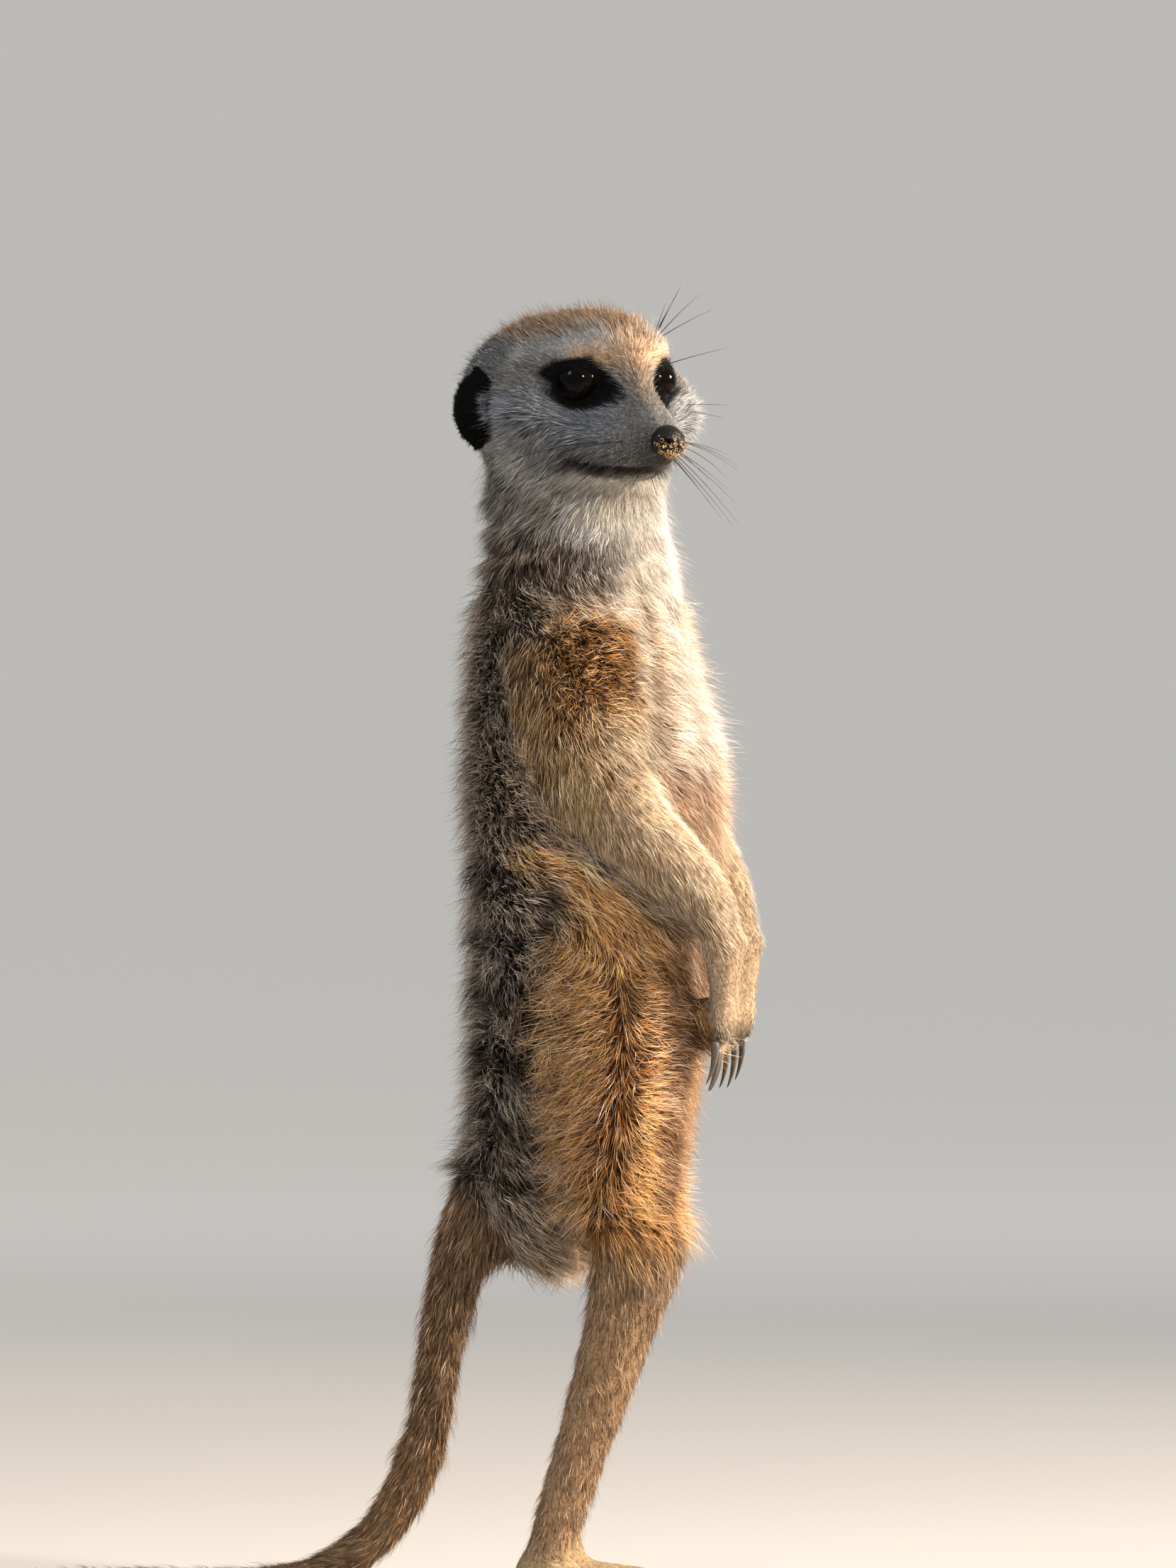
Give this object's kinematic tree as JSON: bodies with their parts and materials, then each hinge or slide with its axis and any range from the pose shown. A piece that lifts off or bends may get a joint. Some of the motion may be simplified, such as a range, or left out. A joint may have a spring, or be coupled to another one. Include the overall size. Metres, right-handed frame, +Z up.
{
  "type": "meerkat figure",
  "caption": "Life-size still meerkat standing upright on its hind feet with its tail laid behind it, arms hanging and head turned to its right.",
  "frame": {"origin": "on the floor at the middle of the model's bounding box", "axes": "+Z up, the animal faces -Y and its left side is +X"},
  "size_m": [0.0794, 0.2146, 0.3184],
  "materials": {
    "face_coat": "short soft fur, pale grey",
    "body_coat": "grizzled grey-brown fur",
    "arm_coat": "short cream fur",
    "leg_coat": "golden tan fur",
    "tail_coat": "short tan fur",
    "tail_tip_coat": "near-black fur",
    "ear": "short black fur",
    "eye": "wet gloss",
    "nose": "damp pebbled skin",
    "claw": "worn horn"
  },
  "bodies": {
    "root": {"head": "face_coat", "upper_arm_left": "arm_coat", "forearm_left": "arm_coat", "hand_left": "arm_coat", "thigh_left": "leg_coat", "shank_left": "leg_coat", "foot_left": "leg_coat", "eye_left": "eye", "ear_left": "ear", "finger_claw_left_1": "claw", "finger_claw_left_2": "claw", "finger_claw_left_3": "claw", "finger_claw_left_4": "claw", "toe_claw_left_1": "claw", "toe_claw_left_2": "claw", "toe_claw_left_3": "claw", "toe_claw_left_4": "claw", "upper_arm_right": "arm_coat", "forearm_right": "arm_coat", "hand_right": "arm_coat", "thigh_right": "leg_coat", "shank_right": "leg_coat", "foot_right": "leg_coat", "eye_right": "eye", "ear_right": "ear", "finger_claw_right_1": "claw", "finger_claw_right_2": "claw", "finger_claw_right_3": "claw", "finger_claw_right_4": "claw", "toe_claw_right_1": "claw", "toe_claw_right_2": "claw", "toe_claw_right_3": "claw", "toe_claw_right_4": "claw", "nose": "nose", "tail_base": "tail_coat", "tail_middle": "tail_coat", "tail_tip": "tail_tip_coat", "neck": "face_coat", "chest": "body_coat", "belly": "body_coat"}
  },
  "joints": []
}
